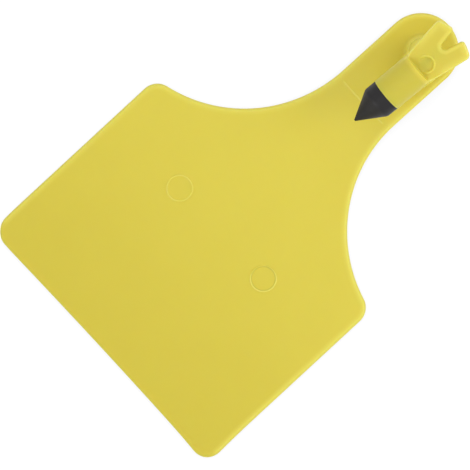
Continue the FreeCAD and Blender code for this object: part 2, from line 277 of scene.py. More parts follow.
FLOOR_HALF = 3.0
FLOOR_DROP = 0.00002
FLOOR_PALE = (0.82, 0.82, 0.82, 1)
SHADOW_REACH = 0.015
SHADOW_TINT = 0.72
AO_SAMPLES = 16
SKY_STRENGTH = 0.556
BACKDROP_STRENGTH = 1.08
LAMP_AIM = (0, -0.03, 0)
LAMPS = (  # name, azimuth and elevation in degrees, distance, size, power in watts
    ("front", 270, 45, 1.0, 0.57, 3.14),
    ("right", 45, 30, 0.7, 0.4, 1.53),
    ("left", 135, 30, 0.7, 0.4, 0.54),
)
TAG_ANGLE = 42.75
VIEW_CENTRE = (2.5, -62.9, FLAG_THICKNESS)
VIEW_DISTANCE = 1.0
VIEW_WIDTH = 0.1129

TOGGLE_ORIGIN = CROWN + SLEEVE_RADIUS * TOGGLE_Z


def to_row(points):
    """Points of the toggle's frame in the row frame."""
    return TOGGLE_ORIGIN + np.asarray(points) @ np.array([TOGGLE_X, TOGGLE_Y, TOGGLE_Z])


def smooth_step(value, start, end):
    """0 before start, 1 after end, smooth between."""
    t = np.clip((np.asarray(value, float) - start) / (end - start), 0, 1)
    return t * t * (3 - 2 * t)


def add_mesh(name, points, faces, material, body=None):
    """Smooth-shaded mesh object from points in millimetres."""
    mesh = bpy.data.meshes.new(name)
    mesh.from_pydata((np.asarray(points) * MM).tolist(), [], faces)
    mesh.validate()
    mesh.polygons.foreach_set("use_smooth", [len(face.vertices) <= 4 for face in mesh.polygons])
    mesh.materials.append(material)
    piece = bpy.data.objects.new(name, mesh)
    bpy.context.scene.collection.objects.link(piece)
    if body:
        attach(piece, body)
    return piece


def add_tones(piece, **tones):
    """Numbers per vertex for the yellow material: paler (painted highlights, and the toggle's pale tint),
    darker (painted shade, and the shank seen through the sleeve), and from 0 deep to 1 pale (with a painted
    light gradient and painted shade on the sheet).
    """
    for name in ("rim", "dull", "tone"):
        values = np.zeros(len(piece.data.vertices), np.float32) + tones.get(name, 0)
        layer = piece.data.attributes.new(name, "FLOAT", "POINT")
        layer.data.foreach_set("value", values.astype(np.float32))


# ---- materials ----


class Nodes:
    """Short calls for building a node tree."""

    def __init__(self, tree):
        self.tree = tree

    def add(self, kind, inputs=None, **settings):
        """A node with its settings, and inputs set to a number or linked to another node's output."""
        node = self.tree.nodes.new(kind)
        for key, value in settings.items():
            setattr(node, key, value)
        for key, value in (inputs or {}).items():
            self.put(node.inputs[key], value)
        return node

    def put(self, socket, value):
        """Link a socket to an output, or set it to a value."""
        if isinstance(value, bpy.types.NodeSocket):
            self.tree.links.new(value, socket)
        else:
            socket.default_value = value

    def attribute(self, name):
        """A number per vertex, from add_tones."""
        return self.add("ShaderNodeAttribute", attribute_name=name).outputs["Fac"]

    def noise(self, scale, detail=3.0):
        """Noise on the piece's own coordinates, which stay with it as it moves."""
        place = self.add("ShaderNodeTexCoord").outputs["Object"]
        inputs = {"Vector": place, "Scale": scale, "Detail": detail}
        return self.add("ShaderNodeTexNoise", inputs).outputs["Fac"]

    def spread(self, value, low, high):
        """Noise, mostly 0.3 to 0.7, stretched over low to high."""
        inputs = {"Value": value, "From Min": 0.3, "From Max": 0.7, "To Min": low, "To Max": high}
        return self.add("ShaderNodeMapRange", inputs).outputs["Result"]

    def mix(self, share, first, second):
        """Mix of two colours."""
        inputs = {0: share, 6: first, 7: second}
        return self.add("ShaderNodeMix", inputs, data_type="RGBA").outputs[2]

    def bump(self, height, distance, strength, below=None):
        """Normal of a bumpy surface, on top of another bump where one is given."""
        inputs = {"Height": height, "Distance": distance, "Strength": strength}
        if below is not None:
            inputs["Normal"] = below
        return self.add("ShaderNodeBump", inputs).outputs["Normal"]

    def larger(self, first, second):
        """The larger of two numbers."""
        return self.add("ShaderNodeMath", {0: first, 1: second}, operation="MAXIMUM").outputs[0]

    def mix_shaders(self, share, first, second):
        """Mix of two shaders."""
        return self.add("ShaderNodeMixShader", {0: share, 1: first, 2: second}).outputs[0]

    def when_seen(self, unseen, seen):
        """Second shader for camera, glossy and transmission rays, first shader for all others."""
        path = self.add("ShaderNodeLightPath").outputs
        bounced = self.larger(path["Is Glossy Ray"], path["Is Transmission Ray"])
        return self.mix_shaders(self.larger(path["Is Camera Ray"], bounced), unseen, seen)


def new_material(name):
    """A material, the calls for its nodes, and its shader's inputs."""
    material = bpy.data.materials.new(name)
    material.use_nodes = True
    tree = material.node_tree
    return material, Nodes(tree), tree.nodes["Principled BSDF"].inputs


def yellow_tpu():
    """Satin, slightly cloudy yellow polyurethane, with painted highlights on edges and crests and painted
    shade in places.
    """
    material, n, shader = new_material("yellow_tpu")
    cloud = n.spread(n.noise(90, 4), 0, 1)
    # deep to pale; on the sheet this carries a painted light gradient and painted shade
    colour = n.mix(n.attribute("tone"), n.mix(cloud, *DEEP_YELLOW), n.mix(cloud, *PALE_YELLOW))
    # painted highlights, and the toggle's pale tint
    colour = n.mix(n.attribute("rim"), colour, PALE_AND_HIGHLIGHT_YELLOW)
    # painted shade, and the shank seen through the sleeve
    n.put(shader["Base Color"], n.mix(n.attribute("dull"), colour, SHANK_AND_SHADE_YELLOW))
    n.put(shader["Roughness"], n.spread(n.noise(700), 0.46, 0.56))
    grain = n.bump(n.noise(5200, 2), 0.00002, 0.25)
    n.put(shader["Normal"], n.bump(n.noise(160, 2), 0.0004, 0.06, grain))
    shader["Subsurface Weight"].default_value = 0.5
    shader["Subsurface Radius"].default_value = (1.0, 0.75, 0.2)
    shader["Subsurface Scale"].default_value = 0.0025
    shader["IOR"].default_value = 1.5
    shader["Specular IOR Level"].default_value = 0.35
    return material


def black_acetal():
    """Hard charcoal plastic with a soft sheen and a fine grain."""
    material, n, shader = new_material("black_acetal")
    n.put(shader["Base Color"], n.mix(n.spread(n.noise(400, 4), 0, 1), *CHARCOAL))
    n.put(shader["Roughness"], n.spread(n.noise(900), 0.44, 0.56))
    n.put(shader["Normal"], n.bump(n.noise(4200, 2), 0.00002, 0.3))
    shader["IOR"].default_value = 1.48
    shader["Specular IOR Level"].default_value = 0.3
    return material


# ---- the sheet: flag, neck and head ----


def bell(x, y, corner_x, spread):
    """1 at one of the flag's lower corners, fading away from it."""
    return np.exp(-((x - corner_x) ** 2 + (y - FLAG_EDGE) ** 2) / (2 * spread**2))


def relax(points):
    """Sheet points with the moulding's set: neck to one side, hollow lower edge, one corner out, one in."""
    x, y = points[:, 0], points[:, 1]
    pull = CORNER_PULL * bell(x, y, FLAG_HALF, CORNER_SPREAD)
    tuck = CORNER_TUCK * bell(x, y, -FLAG_HALF, TUCK_SPREAD)
    hollow = 1 - smooth_step(y, FLAG_EDGE, FLAG_EDGE + BOW_REACH)
    bow = LOWER_EDGE_BOW * (1 / 3 - (x / FLAG_HALF) ** 2) * hollow  # zero on average across the flag
    sway = NECK_SWAY * smooth_step(y, SWAY_START, HEAD_RADIUS)
    side = math.sqrt(0.5)
    across, along = sway + side * (tuck + pull), bow + side * (tuck - pull)
    return points + np.column_stack([across, along, np.zeros(len(points))])


def front_height(y):
    """Front surface over the back face along the tag: flag, long ramp, mould line, neck."""
    rise = NECK_THICKNESS - MOULD_STEP - FLAG_THICKNESS
    along = np.asarray(y, float) - (MOULD_LINE - RAMP_LENGTH)
    ramp = 0.5 * (along + np.sqrt(along**2 + RAMP_SOFTNESS**2)) * rise / RAMP_LENGTH
    step = MOULD_STEP * smooth_step(y, MOULD_LINE + MOULD_ROWS[2], MOULD_LINE + MOULD_ROWS[3])
    ridge = MOULD_RIDGE * (1 - smooth_step(np.abs(y - MOULD_LINE), MOULD_ROWS[3], MOULD_ROWS[5]))
    return np.minimum(FLAG_THICKNESS + ramp, NECK_THICKNESS - MOULD_STEP) + step + ridge


def arc_points(centre, radius, start, end, spacing, hollow=False):
    """Points (x, y, outward normal x, y) along an arc, angles in degrees, end left out."""
    count = max(4, round(abs(math.radians(end - start)) * radius / spacing))
    turn = np.radians(np.linspace(start, end, count, endpoint=False))
    out = np.column_stack([np.cos(turn), np.sin(turn)])
    side = -out if hollow else out
    return np.column_stack([np.array(centre) + radius * out, side])


def line_points(start, end, spacing):
    """Points and outward normals along a straight run of an anticlockwise outline, end left out."""
    start, end = np.array(start, float), np.array(end, float)
    along = (end - start) / np.linalg.norm(end - start)
    count = max(1, round(np.linalg.norm(end - start) / spacing))
    share = np.linspace(0, 1, count, endpoint=False)[:, None]
    normal = np.tile([along[1], -along[0]], (count, 1))
    return np.column_stack([start + share * (end - start), normal])


def tag_outline():
    """Anticlockwise outline with outward normals, from the middle of the lower edge."""
    hollow = np.array([HEAD_RADIUS + SHOULDER_RADIUS, -NECK_STRAIGHT])
    corner_x = FLAG_HALF - CORNER_RADIUS
    reach = SHOULDER_RADIUS + CORNER_RADIUS
    shoulder = np.array([corner_x, hollow[1] - math.sqrt(reach**2 - (hollow[0] - corner_x) ** 2)])
    meet = math.degrees(math.atan2(*(hollow - shoulder)[::-1]))
    low = FLAG_EDGE + CORNER_RADIUS
    right = np.vstack([
        line_points((0, FLAG_EDGE), (corner_x, FLAG_EDGE), EDGE_SPACING),
        arc_points((corner_x, low), CORNER_RADIUS, -90, 0, CORNER_SPACING),
        line_points((FLAG_HALF, low), (FLAG_HALF, shoulder[1]), EDGE_SPACING),
        arc_points(shoulder, CORNER_RADIUS, 0, meet, CORNER_SPACING),
        arc_points(hollow, SHOULDER_RADIUS, meet + 180, 180, EDGE_SPACING, hollow=True),
        line_points((HEAD_RADIUS, -NECK_STRAIGHT), (HEAD_RADIUS, 0), EDGE_SPACING),
        arc_points((0, 0), HEAD_RADIUS, 0, 90, HEAD_SPACING),
    ])
    top = np.array([[0, HEAD_RADIUS, 0, 1]])
    left = right[:0:-1] * [-1, 1, -1, 1]
    return np.vstack([right, top, left])


def rim_radius(points):
    """Rounding of the front face's edge at points of the outline: small on the lower edge, full elsewhere."""
    share = smooth_step(points[:, 1], FLAG_EDGE + 0.3, FLAG_EDGE + CORNER_RADIUS)
    return LOWER_EDGE_ROUND + (RIM_ROUND - LOWER_EDGE_ROUND) * share


def sheet_rings(outline):
    """Closed rings of points from the back face, up the wall, and over the rounded edge of the front."""
    place, normal = outline[:, :2], outline[:, 2:]
    radius = rim_radius(outline)
    rings = []
    for turn in np.radians((90, 45, 0)):
        inset = BACK_ROUND * (1 - math.cos(turn))
        height = np.full(len(outline), BACK_ROUND * (1 - math.sin(turn)))
        rings.append(np.column_stack([place - inset * normal, height]))
    for turn in np.radians(np.linspace(0, 90, RIM_STEPS)):
        inset = (radius * (1 - math.cos(turn)))[:, None]
        spot = place - inset * normal
        drop = radius * (1 - math.sin(turn))
        rings.append(np.column_stack([spot, front_height(spot[:, 1]) - drop]))
    for beyond in RINGS_INSIDE:
        flat = place - (radius + beyond)[:, None] * normal
        rings.append(np.column_stack([flat, front_height(flat[:, 1])]))
    return rings


def inside(points, outline, margin):
    """Which points lie inside the outline by more than margin."""
    keep = np.zeros(len(points), bool)
    for n, p in enumerate(points):
        gaps = outline[:, :2] - p
        nearest = int(np.argmin((gaps**2).sum(1)))
        keep[n] = gaps[nearest] @ outline[nearest, 2:] > margin
    return keep


def lattice(low, high, spacing):
    """Staggered grid of points over a rectangle."""
    rows = np.arange(low[1], high[1], spacing * LATTICE_ROW)
    points = []
    for n, y in enumerate(rows):
        xs = np.arange(low[0] + (n % 2) * spacing / 2, high[0], spacing)
        points.append(np.column_stack([xs, np.full(len(xs), y)]))
    return np.vstack(points)


def flare_height(points):
    """Height that the foot of the stem adds to the head: a quarter ellipse, tangent to the head."""
    reach = np.maximum(np.linalg.norm(points[:, :2], axis=1), FLARE_JOIN)
    share = np.clip((STEM_WAIST + FLARE_REACH - reach) / FLARE_REACH, 0, 1)
    return FLARE_HEIGHT * (1 - np.sqrt(1 - share**2))


def mark_centre(side):
    """Centre of the ejector ring on one side, +1 or -1, of the neck's axis."""
    return np.array([side * MARK_SPACING / 2, FLAG_EDGE + MARK_TO_EDGE])


def mark_gap(points, side):
    """Distance outwards from the crest of one ejector ring."""
    return np.linalg.norm(points[:, :2] - mark_centre(side), axis=1) - (MARK_RADIUS - MARK_LINE / 2)


def mark_crest(points, side):
    """How near points are to the crest of one ejector ring, from 0 to 1."""
    return 1 - smooth_step(np.abs(mark_gap(points, side)), MARK_LINE * 0.15, MARK_LINE * 0.5)


def mark_height(points):
    """Height that the two ejector rings add to the flag."""
    return MARK_HEIGHT * (mark_crest(points, -1) + mark_crest(points, 1))


def mark_highlight(points):
    """Painted highlights on the rings' crests, on the +X side mostly at its lower right."""
    centre = mark_centre(1)
    toward = (points[:, 0] - centre[0]) - (points[:, 1] - centre[1])
    least, most = RIGHT_MARK_HIGHLIGHTS
    share = least + (most - least) * smooth_step(toward, -1.2 * MARK_RADIUS, 0.8 * MARK_RADIUS)
    return LEFT_MARK_HIGHLIGHT * mark_crest(points, -1) + share * mark_crest(points, 1)


def mark_shade_line(points):
    """How near points are to the painted shade line just inside the ring on the +X side, from 0 to 1."""
    gap = mark_gap(points, 1)
    return smooth_step(gap, -0.9 * MARK_LINE, -0.5 * MARK_LINE) * smooth_step(gap, 0, -0.4 * MARK_LINE)


def circle(centre, radius, spacing):
    """Points round a circle."""
    return arc_points(centre, radius, 0, 360, spacing)[:, :2]


def front_points(outline):
    """Inner points of the front face: a coarse lattice, finer over the bend, the marks and the mould line."""
    coarse = lattice((-FLAG_HALF, FLAG_EDGE), (FLAG_HALF, HEAD_RADIUS), LATTICE_SPACING)
    low, high = FLEX_START - BEND_MARGIN, FLEX_END + BEND_MARGIN
    bend = (coarse[:, 1] > low) & (coarse[:, 1] < high)
    groups = [coarse[~bend], lattice((-BEND_HALF, low), (BEND_HALF, high), BEND_SPACING)]
    flare_end = STEM_WAIST + FLARE_REACH
    rounds = [(mark_centre(side), MARK_RADIUS) for side in (-1, 1)] + [(np.zeros(2), flare_end)]
    for centre, radius in rounds:
        groups = [g[np.linalg.norm(g - centre, axis=1) > radius + CLEARANCE] for g in groups]
    groups = [g[np.abs(g[:, 1] - MOULD_LINE) > LINE_CLEARANCE] for g in groups]
    groups += [circle((0, 0), radius, INNER_SPACING) for radius in (1.0, 2.0)]
    for radius in np.linspace(STEM_WAIST - 0.2, flare_end + 0.2, FLARE_RINGS):
        groups.append(circle((0, 0), radius, FLARE_SPACING))
    middle = MARK_RADIUS - MARK_LINE / 2
    for side in (-1, 1):
        centre = mark_centre(side)
        groups += [circle(centre, radius, INNER_SPACING) for radius in (1.2, 2.3)]
        groups += [circle(centre, middle + MARK_LINE * share, RING_SPACING) for share in MARK_ROWS]
        groups.append(centre[None])
    across = np.arange(-HEAD_RADIUS, HEAD_RADIUS, MOULD_SPACING)
    for offset in MOULD_ROWS:
        groups.append(np.column_stack([across, np.full(len(across), MOULD_LINE + offset)]))
    points = np.vstack(groups)
    return points[inside(points, outline, FRONT_MARGIN)]


def fill(ring, inner):
    """Triangles over a closed ring and the points inside it. The ring keeps its order at the front."""
    flat = [Vector(p[:2]) for p in ring] + [Vector(p) for p in inner]
    count = len(ring)
    edges = [(n, (n + 1) % count) for n in range(count)]
    points, _, triangles, origins, *_ = delaunay_2d_cdt(flat, edges, [], 1, FILL_TOLERANCE)
    if len(points) != len(flat):
        raise ValueError("the sheet's fill merged or added points")
    order = [group[0] for group in origins]
    return [tuple(order[v] for v in triangle) for triangle in triangles]


def facing(points, triangles, up):
    """Triangles turned so that their normals point up or down."""
    turned = []
    for a, b, c in triangles:
        first, second = points[b] - points[a], points[c] - points[a]
        rising = first[0] * second[1] - first[1] * second[0] > 0
        turned.append((a, b, c) if rising == up else (a, c, b))
    return turned


def ring_walls(levels, count):
    """Quads between rings of points that follow each other."""
    faces = []
    for low in range(0, (levels - 1) * count, count):
        high = low + count
        for n in range(count):
            m = (n + 1) % count
            faces.append((low + n, low + m, high + m, high + n))
    return faces


def sheet_tones(points, outline, rings, front_start, back_start):
    """Paint of the sheet's points: painted highlights on the edges, flare, marks, mould line and neck;
    painted shade on the lower edge, inside the +X ring and on the head; paler towards the head, a painted
    light gradient.
    """
    front, y, count = points[front_start:back_start], points[:, 1], len(outline)
    rim, dull = np.zeros(len(points)), np.zeros(len(points))
    inner = smooth_step(outline[:, 1], FLAG_EDGE, FLAG_EDGE + CORNER_RADIUS)
    # painted highlights over the edge rings, and painted shade on the lower edge
    for level, share in zip(range(rings - len(RIM_HIGHLIGHTS), rings), RIM_HIGHLIGHTS, strict=True):
        rim[level * count : (level + 1) * count] = share * inner
        dull[level * count : (level + 1) * count] = (1 - inner) * (share > LOWER_EDGE_SHADE_FROM)
    # painted highlights on the flare, the mould line and the ejector rings
    flare = FLARE_HIGHLIGHT * smooth_step(flare_height(front), 0.0, 1.0)
    from_line = np.abs(front[:, 1] - MOULD_LINE)
    line = MOULD_LINE_HIGHLIGHT * (1 - smooth_step(from_line, MOULD_ROWS[3], MOULD_ROWS[5]))
    rim[front_start:back_start] = np.max([flare, line, mark_highlight(front)], axis=0)
    # painted light on the neck beside the tip
    low, full, fall, gone = NECK_PAINTED_LIGHT_RUN
    rim += NECK_PAINTED_LIGHT * smooth_step(y, low, full) * (1 - smooth_step(y, fall, gone))
    # painted shade just inside the +X ring
    dull[front_start:back_start] = mark_shade_line(front)
    # painted shade on the head, left off under the fork; paler towards the head, a painted light gradient
    under_fork = smooth_step(points[:, 0], *UNDER_FORK_X) * smooth_step(y, *UNDER_FORK_Y)
    painted_head_shade = smooth_step(y, -HEAD_RADIUS, 0) * (1 - under_fork)
    return {"rim": rim, "dull": dull, "tone": smooth_step(y, *LIGHT_GRADIENT_RUN) - HEAD_SHADE * painted_head_shade}


def build_sheet(material):
    """Flag, neck and head as one closed mesh, with points set closer over the neck's bend."""
    outline = tag_outline()
    rings = sheet_rings(outline)
    count = len(outline)
    front = front_points(outline)
    height = front_height(front[:, 1]) + mark_height(front) + flare_height(front)
    front = np.column_stack([front, height])
    back = lattice((-FLAG_HALF, FLAG_EDGE), (FLAG_HALF, HEAD_RADIUS), LATTICE_SPACING)
    back = back[inside(back, outline, BACK_MARGIN)]
    back = np.column_stack([back, np.zeros(len(back))])
    points = np.vstack([*rings, front, back])
    faces = ring_walls(len(rings), count)
    front_start = len(rings) * count
    back_start = front_start + len(front)
    caps = [(front_start - count, front_start, front, True), (0, back_start, back, False)]
    for ring_start, start, cap, up in caps:
        index = [*range(ring_start, ring_start + count), *range(start, start + len(cap))]
        for triangle in fill(points[ring_start : ring_start + count], cap[:, :2]):
            faces += facing(points, [tuple(index[v] for v in triangle)], up)
    piece = add_mesh("moulded_sheet", relax(points), faces, material)
    add_tones(piece, **sheet_tones(points, outline, len(rings), front_start, back_start))
    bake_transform(piece)
    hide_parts("flag_panel", "neck_flexure", "neck_head")
    return piece


# ---- lathed pieces: stem and tip ----


def lathe(levels, sides):
    """Faces over rings of points, each with the given number of sides, and over both ends."""
    last = (levels - 1) * sides
    return [*ring_walls(levels, sides), tuple(reversed(range(sides))), tuple(range(last, last + sides))]


def stem_sections(length):
    """Heights and radii of the stem: out of the flare on the head, the waist, then wider to the crown."""
    join = (STEM_WAIST + FLARE_REACH - FLARE_JOIN) / FLARE_REACH
    start = FLARE_HEIGHT * (1 - math.sqrt(1 - join**2))
    heights = np.concatenate([np.linspace(start, FLARE_HEIGHT, 6), np.linspace(FLARE_HEIGHT, length, 14)[1:]])
    share = np.clip((FLARE_HEIGHT - heights) / FLARE_HEIGHT, 0, 1)
    radii = STEM_WAIST + FLARE_REACH * (1 - np.sqrt(1 - share**2))
    radii = radii + (STEM_CROWN - STEM_WAIST) * smooth_step(heights, FLARE_HEIGHT * 0.8, length)
    return np.concatenate([[-STEM_SET], heights]), np.concatenate([[radii[0]], radii])


def build_stem(material):
    """Leaning stem from the head to the toggle, on a curve that is square to both."""
    root = relax(np.array([[0, 0, NECK_THICKNESS]]))[0]
    rise = np.linalg.norm(CROWN - root)
    heights, radii = stem_sections(rise)
    upright = np.array([0, 0, 1])
    turn = np.linspace(0, 2 * math.pi, STEM_SIDES, endpoint=False)[:, None]
    rings = []
    for height, radius in zip(heights, radii):
        t = height / rise
        blend = [2 * t**3 - 3 * t**2 + 1, t**3 - 2 * t**2 + t, 3 * t**2 - 2 * t**3, t**3 - t**2]
        centre = blend[0] * root + blend[2] * CROWN
        centre = centre + rise * (blend[1] * upright + blend[3] * TOGGLE_Z)
        up = (1 - t) * upright + t * TOGGLE_Z
        up = up / np.linalg.norm(up)
        side = np.cross(np.array([0, 1, 0]), up)
        side = side / np.linalg.norm(side)
        ahead = np.cross(up, side)
        rings.append(centre + radius * (np.cos(turn) * side + np.sin(turn) * ahead))
    faces = lathe(len(rings), STEM_SIDES)
    piece = add_mesh("stem_bend", np.vstack(rings), faces, material)
    # painted highlight on the stem's foot
    foot = FLARE_HIGHLIGHT * (1 - smooth_step(heights, FLARE_HEIGHT, 2 * FLARE_HEIGHT))
    add_tones(piece, rim=np.repeat(foot, STEM_SIDES), tone=1)
    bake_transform(piece)
    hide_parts("stem")
    return piece


def rounded_profile(corners, steps=6):
    """Corners (along, radius, rounding) as a smooth list of (along, radius)."""
    points = []
    for n, (y, r, rounding) in enumerate(corners):
        here = np.array([y, r], float)
        if rounding == 0:
            points.append(here)
            continue
        before = np.array(corners[n - 1][:2]) - here
        after = np.array(corners[n + 1][:2]) - here
        before, after = before / np.linalg.norm(before), after / np.linalg.norm(after)
        for share in np.linspace(0, 1, steps):
            start, end = here + before * rounding, here + after * rounding
            points.append((1 - share) ** 2 * start + 2 * share * (1 - share) * here + share**2 * end)
    return points


def build_tip(material):
    """Hard tip: cone and collar, with the start of its shank inside the sleeve."""
    profile = rounded_profile([
        (POINT, POINT_FLAT, 0),
        (POINT + POINT_FLAT, POINT_BLUNT, 0.1),
        (POINT + CONE_LENGTH, TIP_RADIUS, 0.35),
        (COLLAR_END, TIP_RADIUS, 0.12),
        (COLLAR_END, SHANK_RADIUS, 0.1),
        (SLEEVE_MOUTH + SHANK_SHOWN, SHANK_RADIUS, 0),
    ])
    turn = np.linspace(0, 2 * math.pi, TIP_SIDES, endpoint=False)
    rings = []
    for y, r in profile:
        aside = TIP_LEAN * max(SLEEVE_MOUTH - y, 0)
        rings.append(np.column_stack([r * np.sin(turn) - aside, np.full(TIP_SIDES, y), r * np.cos(turn)]))
    points, faces = to_row(np.vstack(rings)), lathe(len(rings), TIP_SIDES)
    piece = add_mesh("hard_tip", points, faces, material, "toggle")
    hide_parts("piercing_tip")
    return piece


# ---- the toggle, as a distance field in its own frame ----


def round_and(a, b, radius):
    """What two solids share, with the edge between them rounded."""
    corner = np.hypot(np.maximum(a + radius, 0), np.maximum(b + radius, 0))
    return np.minimum(np.maximum(a, b), -radius) + corner


def round_or(a, b, radius):
    """Two solids joined with a fillet between them."""
    return -round_and(-a, -b, radius)


def half_plane(x, y, start, end):
    """Signed distance to the line from start to end, negative on its left."""
    dx, dy = end[0] - start[0], end[1] - start[1]
    return ((x - start[0]) * dy - (y - start[1]) * dx) / math.hypot(dx, dy)


def tail_plan(x, y):
    """Plan outline of the block, without its slot: straight flaring sides and a curved end."""
    half = SLEEVE_RADIUS + ROOT_MARGIN
    ax = np.abs(x)
    chord = math.sqrt(SLEEVE_RADIUS**2 - FLAT_HEIGHT**2)
    side = half_plane(ax, y, (half, ROOT_STATION), (TAIL_HALF, TAIL_END - 1))
    front_corner = half_plane(ax, y, (chord, FLAT_FRONT), (half, ROOT_STATION))
    centre = TAIL_END - math.sqrt(TAIL_ARC**2 - SLOT_MOUTH_HALF**2)
    end = np.hypot(x, y - centre) - TAIL_ARC
    plan = round_and(side, end, TAIL_CORNER_ROUND)
    plan = round_and(plan, front_corner, FRONT_CORNER_ROUND)
    return round_and(plan, FLAT_FRONT - 0.6 - y, FRONT_CORNER_ROUND)


def slot_plan(x, y):
    """Plan of the slot between the fork's arms: round closed end, flaring to the mouth."""
    root_y = SLOT_CLOSED + SLOT_ROOT_HALF
    ax = np.abs(x)
    wedge = half_plane(ax, y, (SLOT_ROOT_HALF, root_y), (SLOT_MOUTH_HALF, TAIL_END))
    wedge = np.maximum(wedge, root_y - y)
    bowl = np.hypot(x, y - root_y) - SLOT_ROOT_HALF
    return np.minimum(wedge, bowl)


def dimple_reach(x, y):
    """Distance from the dimple's middle."""
    return np.hypot(x - DIMPLE[0], y - DIMPLE[1])


def dimple_lean(x, y):
    """How marked the dimple's edge is: full towards the tail and the right, gone at the front left."""
    toward = DIMPLE_HEADING[0] * (x - DIMPLE[0]) + DIMPLE_HEADING[1] * (y - DIMPLE[1])
    return smooth_step(toward, -0.9 * DIMPLE_RADIUS, 0.1 * DIMPLE_RADIUS)


def dimple_height(x, y):
    """Low crest and recess above the stem."""
    past = dimple_reach(x, y) - DIMPLE_RADIUS
    crest = DIMPLE_CREST * smooth_step(past, -0.45, -0.1) * (1 - smooth_step(past, 0, 0.35))
    floor = DIMPLE_DEPTH * (1 - smooth_step(past, -0.45, -0.15))
    return (crest - floor) * dimple_lean(x, y)


def sleeve_field(x, y, z):
    """Signed distance, about, to the round sleeve, cut away over the block's flat."""
    sleeve = np.hypot(x, z) - SLEEVE_RADIUS
    sleeve = round_and(sleeve, SLEEVE_MOUTH - y, MOUTH_ROUND)
    sleeve = round_and(sleeve, y - SLEEVE_END, SLEEVE_END_ROUND)
    cutter = np.maximum(FLAT_HEIGHT - FLAT_CUT - z, FLAT_FRONT - y)
    return round_and(sleeve, -cutter, CUT_ROUND)


def block_field(x, y, z):
    """Signed distance, about, to the flat block, thinner towards the tail, without its slot."""
    past = y - RELIEF_START
    rise = (FLAT_HEIGHT - TAIL_THICKNESS + SLEEVE_RADIUS) / (TAIL_END - RELIEF_START)
    under = rise * 0.5 * (past + np.sqrt(past**2 + RELIEF_SOFTNESS)) - SLEEVE_RADIUS
    top = z - FLAT_HEIGHT - dimple_height(x, y) * (z > 0)
    block = round_and(tail_plan(x, y) + np.abs(z) * SIDE_DRAFT, top, TOP_ROUND)
    return round_and(block, under - z, UNDER_ROUND)


def toggle_field(x, y, z):
    """Signed distance, about, to the soft part of the toggle."""
    body = round_or(sleeve_field(x, y, z), block_field(x, y, z), SLEEVE_FILLET)
    down = FLAT_HEIGHT - z
    slot = slot_plan(x, y + SLOT_LEAN * down) - SLOT_DRAFT * down
    body = round_and(body, -slot, SLOT_ROUND)
    shoulder = SHOULDER_PROUD * smooth_step(y, SHOULDER_START, FLAT_FRONT) * (y < ROOT_STATION)
    proud = (PARTING_LINE + shoulder) * smooth_step(y, *PARTING_RUN)
    body = round_or(body, np.maximum(body - proud, np.abs(z) - PARTING_HALF), PARTING_FILLET)
    stub = np.maximum(z - STUB_TOP, -SLEEVE_RADIUS - STUB_DROP - z)
    body = round_or(body, np.maximum(np.hypot(x, y) - STEM_CROWN, stub), STUB_FILLET)
    bore = np.maximum(np.hypot(x, z) - PIN_RADIUS, SHANK_END - y)
    body = round_and(body, -bore, BORE_ROUND)
    seat = np.maximum(np.hypot(x, z) - (TIP_RADIUS - SEAT_STEP), y - (SLEEVE_MOUTH + SEAT_DEPTH))
    return np.maximum(body, -seat)


def surface_net(field, low, high, step):
    """Quads over the zero surface of a field on a regular grid, pulled onto it by its slope."""
    axes = [np.arange(a, b + step, step) for a, b in zip(low, high)]
    grid = np.stack(np.meshgrid(*axes, indexing="ij"), -1)
    value = field(grid[..., 0], grid[..., 1], grid[..., 2])
    inside_here = value < 0
    cells = tuple(n - 1 for n in value.shape)
    total, crossings = np.zeros(cells + (3,)), np.zeros(cells)
    corners = [(i, j, k) for i in (0, 1) for j in (0, 1) for k in (0, 1)]

    def at(array, corner):
        return array[tuple(slice(c, c + n) for c, n in zip(corner, cells))]

    for first in corners:
        for axis in range(3):
            if first[axis]:
                continue
            second = tuple(1 if n == axis else c for n, c in enumerate(first))
            va, vb = at(value, first), at(value, second)
            cut = (va < 0) != (vb < 0)
            share = np.where(cut, va / np.where(cut, va - vb, 1), 0)
            spot = np.zeros(cells + (3,))
            for n in range(3):
                spot[..., n] = first[n]
            spot[..., axis] = share
            total += np.where(cut[..., None], spot, 0)
            crossings += cut
    active = crossings > 0
    number = np.full(cells, -1)
    number[active] = np.arange(active.sum())
    base = np.argwhere(active)
    points = np.array(low) + (base + total[active] / crossings[active][:, None]) * step
    quads = []
    for axis in range(3):
        second, third = (axis + 1) % 3, (axis + 2) % 3
        here = [slice(1, -1)] * 3
        ahead = [slice(1, -1)] * 3
        here[axis], ahead[axis] = slice(0, -1), slice(1, None)
        start, end = inside_here[tuple(here)], inside_here[tuple(ahead)]
        for sign, found in ((True, start & ~end), (False, ~start & end)):
            where = np.argwhere(found) + 1
            where[:, axis] -= 1
            ring = []
            for b, c in ((0, 0), (1, 0), (1, 1), (0, 1)):
                cell = where.copy()
                cell[:, second] -= 1 - b
                cell[:, third] -= 1 - c
                ring.append(number[tuple(cell.T)])
            quads.append(np.column_stack(ring if sign else ring[::-1]))
    small = step * 0.2
    for _ in range(NET_ROUNDS):
        x, y, z = points.T
        slope = np.column_stack([
            field(x + small, y, z) - field(x - small, y, z),
            field(x, y + small, z) - field(x, y - small, z),
            field(x, y, z + small) - field(x, y, z - small),
        ]) / (2 * small)
        size = np.maximum((slope**2).sum(1), 0.2)
        move = (field(x, y, z) / size)[:, None] * slope
        points -= np.clip(move, -step / 2, step / 2)
    return points, np.vstack(quads).tolist()


